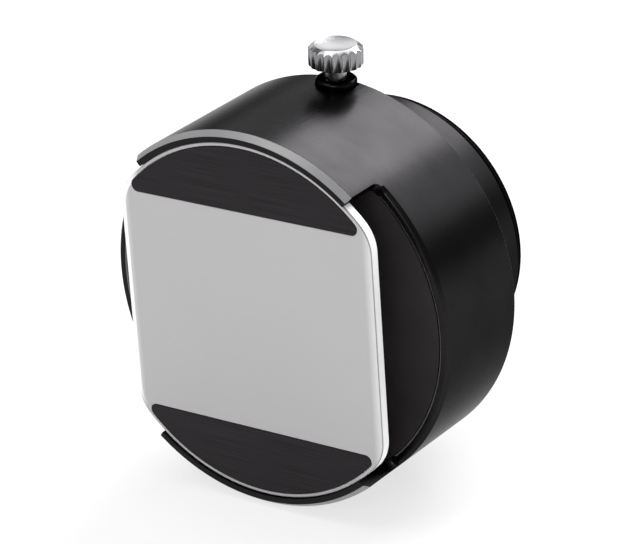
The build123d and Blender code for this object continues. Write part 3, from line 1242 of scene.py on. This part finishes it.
@dataclass
class Front:
    """Diffuser, name plates, guides and stage. Sizes in mm."""

    radius: float = 33.95
    diffuser_front: float = -46.25
    diffuser_back: float = -44.1
    half_width: float = 26.83
    corner: float = 8.0
    edge: float = 0.25
    plate_radius: float = 33.2
    plate_edge: float = 21.1
    plate_corner: float = 1.2
    plate_gap: float = 0.1
    plate_front: float = -46.35
    plate_back: float = -45.85
    plate_rounding: float = 0.07
    edge_facets: int = 3
    cutter_out: float = 1.0

    def segment(self, name: str, side: Side, gap: float, front: float) -> Object:
        """A name plate's form, or with a gap its recess.

        Args:
            name: The piece's name.
            side: Whether it lies above or below the optical axis.
            gap: How much larger it is than the plate, all round.
            front: The front face's place along the optical axis.

        Returns:
            The piece, in object mode.
        """
        outline = rounded_chord(
            self.plate_radius + gap, self.plate_edge - gap, self.plate_corner + gap
        )
        outline = [(x, side.value * z) for x, z in outline]
        return plate_of(name, outline, front, self.plate_back)

    def diffuser(self) -> Object:
        """Builds the diffuser, with a recess for each name plate.

        Returns:
            The piece, in object mode.
        """
        outline = rounded_band(self.radius, self.half_width, self.corner)
        piece = plate_of("opal_diffuser", outline, self.diffuser_front, self.diffuser_back)
        soften(piece, self.edge, self.edge_facets)
        front = self.diffuser_front - self.cutter_out
        for side in Side:
            carve(piece, self.segment("recess", side, self.plate_gap, front))
        return soften(piece)

    def name_plate(self, side: Side) -> Object:
        """Builds one name plate."""
        piece = self.segment(side.name.lower() + "_plate", side, 0.0, self.plate_front)
        return soften(piece, self.plate_rounding, self.edge_facets)

    def assemble(self, palette: Palette) -> None:
        """Builds and dresses the sub-assembly.

        Args:
            palette: The finishes.
        """
        opal = finish_piece(self.diffuser(), Body.BARREL, palette.opal)
        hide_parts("diffuser")
        for side in Side:
            plate = finish_piece(self.name_plate(side), Body.BARREL, palette.plate)
            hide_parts(side.name.lower() + "_name_plate")
        dress(("stage_plate",), palette.stage)
        dress(("upper_guide", "lower_guide"), palette.guide)
        dress(("guide_screws", "stage_screws"), palette.oxide)


@dataclass
class Tube:
    """Mount tube, thread ring, stop ring and set screws. Sizes in mm."""

    radius: float = 27.3
    bore: float = 25.0
    front: float = -29.6
    back: float = -2.5
    spigot: float = 26.2
    spigot_length: float = 3.5
    stop_groove: float = 26.6
    stop_front: float = -28.7
    stop_back: float = -27.9
    trap_pitch: float = 0.9
    trap_width: float = 0.63
    trap_depth: float = 0.4
    trap_start: float = -26.8
    trap_end: float = -7.6
    thread_radius: float = 26.0
    thread_bore: float = 24.6
    thread_pitch: float = 0.75
    thread_depth: float = 0.46
    thread_end: float = 3.0
    lead: float = 0.2
    edge: float = 0.15
    end_edge: float = 0.1
    steps: int = 180

    def tube_profile(self) -> list[Pair]:
        """The tube's profile, with a trap groove every pitch.

        Returns:
            Radius and place of each corner.
        """
        corners = [
            (self.bore, self.front),
            (self.radius, self.front),
            (self.radius, self.stop_front),
            (self.stop_groove, self.stop_front),
            (self.stop_groove, self.stop_back),
            (self.radius, self.stop_back),
            (self.radius, self.back),
            (self.spigot, self.back),
            (self.spigot, self.back - self.spigot_length),
            (self.bore, self.back - self.spigot_length),
        ]
        place = self.trap_end
        while place - self.trap_pitch > self.trap_start:
            corners.append((self.bore, place))
            corners.append((self.bore + self.trap_depth, place - self.trap_width / 2))
            corners.append((self.bore, place - self.trap_width))
            place -= self.trap_pitch
        return corners

    def ring_profile(self) -> list[Pair]:
        """The thread ring's profile, without its thread.

        Returns:
            Radius and place of each corner.
        """
        root = self.thread_radius - self.thread_depth
        inner = self.back - self.spigot_length
        return [
            (self.thread_bore, inner),
            (self.spigot - self.edge, inner),
            (self.spigot, inner + self.edge),
            (self.spigot, self.back),
            (self.radius, self.back),
            (self.radius, -self.edge),
            (self.radius - self.edge, 0.0),
            (root, 0.0),
            (root, self.thread_end - self.end_edge),
            (root - self.end_edge, self.thread_end),
            (self.thread_bore + self.end_edge, self.thread_end),
            (self.thread_bore, self.thread_end - self.end_edge),
        ]

    def thread(self) -> Object:
        """Builds the lens thread.

        Returns:
            The piece, in object mode.
        """
        return Thread(
            "lens_thread",
            OPTICAL,
            self.thread_radius,
            self.thread_depth,
            self.thread_pitch,
            self.lead,
            self.thread_end,
        ).mesh()

    def assemble(self, palette: Palette) -> None:
        """Builds and dresses the sub-assembly.

        Args:
            palette: The finishes.
        """
        for name, profile, node in (
            ("mount_tube_shell", self.tube_profile(), "mount_tube"),
            ("thread_ring_body", self.ring_profile(), "thread_ring"),
        ):
            piece = soften(turned(name, OPTICAL, profile, self.steps))
            finish_piece(piece, Body.TUBE, palette.tube)
            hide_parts(node)
        finish_piece(self.thread(), Body.TUBE, palette.thread)
        dress(("stop_ring", "ring_set_screws"), palette.oxide)


@dataclass
class Lock:
    """Lock screw, bush, knob, shoe, band and felt. Sizes in mm, heights along the stem."""

    knob_radius: float = 5.0
    ring_bottom: float = 39.2
    bottom: float = 39.7
    shoulder: float = 42.8
    rim: float = 43.6
    edge: float = 0.3
    edge_share: float = 0.3
    dish_radius: float = 3.85
    dish_depth: float = 0.32
    dish_shares: tuple[float, ...] = (0.97, 0.85, 0.68, 0.5, 0.32, 0.14, 0.0)
    lip_width: float = 0.08
    lip_drop: float = 0.05
    ring_radius: float = 2.9
    ring_edge: float = 0.08
    knob_rounding: float = 0.05
    knob_sharp: float = 35.0
    flutes: int = 20
    flute_radius: float = 0.85
    flute_depth: float = 0.42
    flute_facets: int = 48
    flute_spare: float = 2.0
    flute_steps: int = 5
    stem: float = 1.95
    stem_end: float = 41.5
    stem_bottom: float = 30.95
    stem_steps: int = 64
    neck_edge: float = 0.12
    tip: float = 29.75
    tip_radius: float = 0.95
    tip_edge: float = 0.1
    thread_depth: float = 0.35
    thread_pitch: float = 0.7
    thread_runout: float = 0.4
    neck_runout: float = 0.1
    bush_radius: float = 2.6
    bush_bottom: float = 32.5
    bush_bore: float = 2.0
    bush_edge: float = 0.25
    bush_rounding: float = 0.12
    bush_facets: int = 3
    bush_steps: int = 96
    fit_gap: float = 0.1
    flange: float = 3.8
    flange_bottom: float = 35.79
    flange_top: float = 37.15
    flange_edge: float = 0.35

    def knob_profile(self) -> list[Pair]:
        """The knob's profile before it is fluted.

        Returns:
            Radius and height of each corner.
        """
        part = self.edge * self.edge_share
        corners = [
            (0.0, self.stem_end),
            (self.stem - self.fit_gap, self.stem_end),
            (self.stem - self.fit_gap, self.ring_bottom),
            (self.ring_radius - self.ring_edge, self.ring_bottom),
            (self.ring_radius, self.ring_bottom + self.ring_edge),
            (self.ring_radius, self.bottom),
            (self.knob_radius - self.edge, self.bottom),
            (self.knob_radius - part, self.bottom + part),
            (self.knob_radius, self.bottom + self.edge),
            (self.knob_radius, self.shoulder),
            (self.dish_radius + self.lip_width, self.rim - self.lip_drop),
            (self.dish_radius, self.rim),
        ]
        for share in self.dish_shares:
            drop = self.dish_depth * (1 - share**2)
            corners.append((self.dish_radius * share, self.rim - drop))
        return corners

    def flute_cutter(self) -> Object:
        """The round cutters for all flutes.

        Returns:
            The cutters as one body, in object mode.
        """
        centre = self.knob_radius + self.flute_radius - self.flute_depth
        cutter = added(
            bpy.ops.mesh.primitive_cylinder_add,
            "flute_cutter",
            vertices=self.flute_facets,
            radius=self.flute_radius * MM,
            depth=(self.rim - self.bottom + self.flute_spare) * MM,
            rotation=(0, STEM_TURN, 0),
            location=STEM.at(centre * MM, (self.bottom + self.rim) / 2 * MM),
        )
        bpy.ops.object.transform_apply(location=True, rotation=True, scale=True)
        edit()
        bpy.ops.mesh.select_all(action="SELECT")
        bpy.ops.mesh.spin(
            steps=self.flutes - 1,
            dupli=True,
            angle=FULL_TURN * (self.flutes - 1) / self.flutes,
            center=STEM.origin,
            axis=STEM.along,
        )
        leave()
        return cutter

    def knob(self) -> Object:
        """Builds the knob.

        Returns:
            The piece, in object mode.
        """
        steps = self.flutes * self.flute_steps
        start = FULL_TURN / self.flutes / 2
        piece = turned("lock_knob_head", STEM, self.knob_profile(), steps, False, start)
        carve(piece, self.flute_cutter())
        return soften(piece, self.knob_rounding, angle=self.knob_sharp)

    def screw(self) -> Object:
        """Builds the lock screw's plain parts: its tip, its core and its neck.

        Returns:
            The piece, in object mode.
        """
        core = self.stem - self.thread_depth
        profile = [
            (0.0, self.tip),
            (self.tip_radius - self.tip_edge, self.tip),
            (self.tip_radius, self.tip + self.tip_edge),
            (self.tip_radius, self.stem_bottom),
            (core, self.stem_bottom),
            (core, self.flange_top - self.thread_runout),
            (self.stem, self.flange_top - self.neck_runout),
            (self.stem, self.ring_bottom - self.neck_edge),
            (self.stem - self.neck_edge, self.ring_bottom),
            (self.stem - self.neck_edge, self.stem_end),
            (0.0, self.stem_end),
        ]
        return soften(turned("lock_screw_stem", STEM, profile, self.stem_steps, closed=False))

    def screw_thread(self) -> Object:
        """Builds the lock screw's thread.

        Returns:
            The piece, in object mode.
        """
        return Thread(
            "lock_screw_thread",
            STEM,
            self.stem,
            self.thread_depth,
            self.thread_pitch,
            self.stem_bottom,
            self.flange_top - self.thread_runout,
        ).mesh()

    def bush(self) -> Object:
        """Builds the flanged bush.

        Returns:
            The piece, in object mode.
        """
        profile = [
            (self.bush_bore, self.bush_bottom),
            (self.bush_radius - self.fit_gap, self.bush_bottom),
            (self.bush_radius - self.fit_gap, self.flange_bottom),
            (self.flange, self.flange_bottom),
            (self.flange, self.flange_top - self.flange_edge),
            (self.flange - self.flange_edge, self.flange_top),
            (self.bush_bore + self.bush_edge, self.flange_top),
            (self.bush_bore, self.flange_top - self.bush_edge),
        ]
        piece = turned("screw_bush_body", STEM, profile, self.bush_steps)
        return soften(piece, self.bush_rounding, self.bush_facets)

    def assemble(self, palette: Palette) -> None:
        """Builds and dresses the sub-assembly.

        Args:
            palette: The finishes.
        """
        knob = finish_piece(self.knob(), Body.KNOB, palette.bright)
        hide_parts("lock_knob")
        screw = finish_piece(self.screw(), Body.KNOB, palette.bright)
        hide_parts("lock_screw")
        finish_piece(self.screw_thread(), Body.KNOB, palette.bright)
        bush = finish_piece(self.bush(), Body.BARREL, palette.bush)
        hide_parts("screw_bush")
        dress(("clamp_band",), palette.guide)
        dress(("clamp_shoe",), palette.brass)
        dress(("felt_ring",), palette.felt)


class ClickStop:
    """Ball, spring and plug below the slot."""

    def assemble(self, palette: Palette) -> None:
        """Dresses the sub-assembly."""
        dress(("click_ball", "click_spring"), palette.steel)
        dress(("click_plug",), palette.oxide)


# ---------------------------------------------------------------- studio


@dataclass(frozen=True)
class Lamp:
    """A soft rectangular lamp. Sizes in metres.

    Args:
        name: The lamp's name.
        place: Where it hangs.
        size: Its width and height.
        power: Its power in watts.
    """

    name: str
    place: Triple
    size: Pair
    power: float

    def hang(self, aim: Triple) -> None:
        """Hangs the lamp, pointing at a place.

        Args:
            aim: What it points at.
        """
        lamp = added(bpy.ops.object.light_add, self.name, type="AREA", location=self.place)
        lamp.data.shape = "RECTANGLE"
        lamp.data.size, lamp.data.size_y = self.size
        lamp.data.energy = self.power
        way = Vector(aim) - Vector(self.place)
        lamp.rotation_mode = "QUATERNION"
        lamp.rotation_quaternion = way.to_track_quat("-Z", "Y")


@dataclass
class Studio:
    """Floor, lamps, world and camera. Sizes in metres, the lens and the sensor in mm."""

    floor_level: float = -0.0364
    floor_size: float = 6.0
    floor_cuts: int = 3
    floor_dark: Triple = (0.86, 0.86, 0.86)
    floor_light: Triple = (0.88, 0.88, 0.88)
    floor_cloud: float = 2.0
    floor_roughness: float = 0.9
    glow: float = 0.72
    world: float = 0.25
    aim: Triple = (0.0, -0.025, 0.0)
    lamps: tuple[Lamp, ...] = (
        Lamp("back_top", (-0.01, 0.70, 0.59), (0.62, 0.36), 10.5),
        Lamp("overhead", (-0.08, 0.02, 1.00), (1.6, 0.55), 10.0),
        Lamp("left_back", (-0.80, 0.44, 0.34), (0.35, 0.70), 0.8),
        Lamp("back_left", (-0.53, 0.72, 0.43), (0.26, 0.40), 0.62),
        Lamp("back_right", (0.47, 0.72, 0.42), (0.28, 0.34), 1.0),
        Lamp("front", (0.28, -0.94, 0.50), (0.6, 0.6), 5.0),
    )
    camera_place: Triple = (0.35222, -0.51317, 0.26309)
    camera_right: Triple = (0.82528, 0.56130, -0.06206)
    camera_up: Triple = (-0.17764, 0.36235, 0.91496)
    camera_back: Triple = (0.53605, -0.74408, 0.39875)
    camera_near: float = 0.01
    lens: float = 203.43
    sensor: float = 36.0

    def floor(self) -> None:
        """Lays the floor, which shows evenly pale to the camera and in reflections."""
        ground = added(bpy.ops.mesh.primitive_plane_add, "studio_floor", size=self.floor_size)
        ground.data.name = ground.name
        edit()
        bpy.ops.transform.translate(value=(0, 0, self.floor_level))
        bpy.ops.mesh.subdivide(number_cuts=self.floor_cuts)
        leave()
        nodes = Nodes("studio_white")
        cloud = nodes.noise(nodes.coordinates, self.floor_cloud)
        white = nodes.ramp(cloud, self.floor_dark, self.floor_light)
        nodes.join(white, nodes.shader.inputs["Base Color"])
        nodes.set(Roughness=self.floor_roughness, Specular_IOR_Level=0.0)
        rays = nodes.add("ShaderNodeLightPath").outputs
        seen = nodes.greater(rays["Is Camera Ray"], rays["Is Glossy Ray"])
        seen = nodes.greater(seen, rays["Is Transmission Ray"])
        light = nodes.add("ShaderNodeEmission")
        light.inputs["Strength"].default_value = 1.0
        mix = nodes.fed("ShaderNodeMixShader", 0, nodes.times(seen, self.glow))
        nodes.join(nodes.shader.outputs["BSDF"], mix.inputs[1])
        nodes.join(light.outputs[0], mix.inputs[2])
        nodes.join(mix.outputs[0], nodes.output.inputs["Surface"])
        ground.data.materials.append(nodes.material)

    def sky(self) -> None:
        """Fills the world with soft white light."""
        world = bpy.data.worlds.new("studio_world")
        bpy.context.scene.world = world
        world.use_nodes = True
        back = world.node_tree.nodes["Background"]
        back.inputs["Color"].default_value = (1, 1, 1, 1)
        back.inputs["Strength"].default_value = self.world

    def camera(self) -> None:
        """Places the camera."""
        camera = added(bpy.ops.object.camera_add, "studio_camera", location=self.camera_place)
        matrix = camera.matrix_world.to_3x3()
        for index, column in enumerate((self.camera_right, self.camera_up, self.camera_back)):
            matrix.col[index] = Vector(column).normalized()
        camera.rotation_mode = "QUATERNION"
        camera.rotation_quaternion = matrix.to_quaternion()
        camera.data.lens = self.lens
        camera.data.sensor_fit = "HORIZONTAL"
        camera.data.sensor_width = self.sensor
        camera.data.clip_start = self.camera_near
        bpy.context.scene.camera = camera

    def build(self) -> None:
        """Sets up the whole studio."""
        bpy.context.scene.view_settings.view_transform = "Standard"
        self.floor()
        for lamp in self.lamps:
            lamp.hang(self.aim)
        self.sky()
        self.camera()


def main() -> None:
    """Builds the object and the studio."""
    palette = Palette()
    for part in (Barrel(), Front(), Tube(), Lock(), ClickStop()):
        part.assemble(palette)
    Studio().build()


if __name__ == "__main__":
    main()
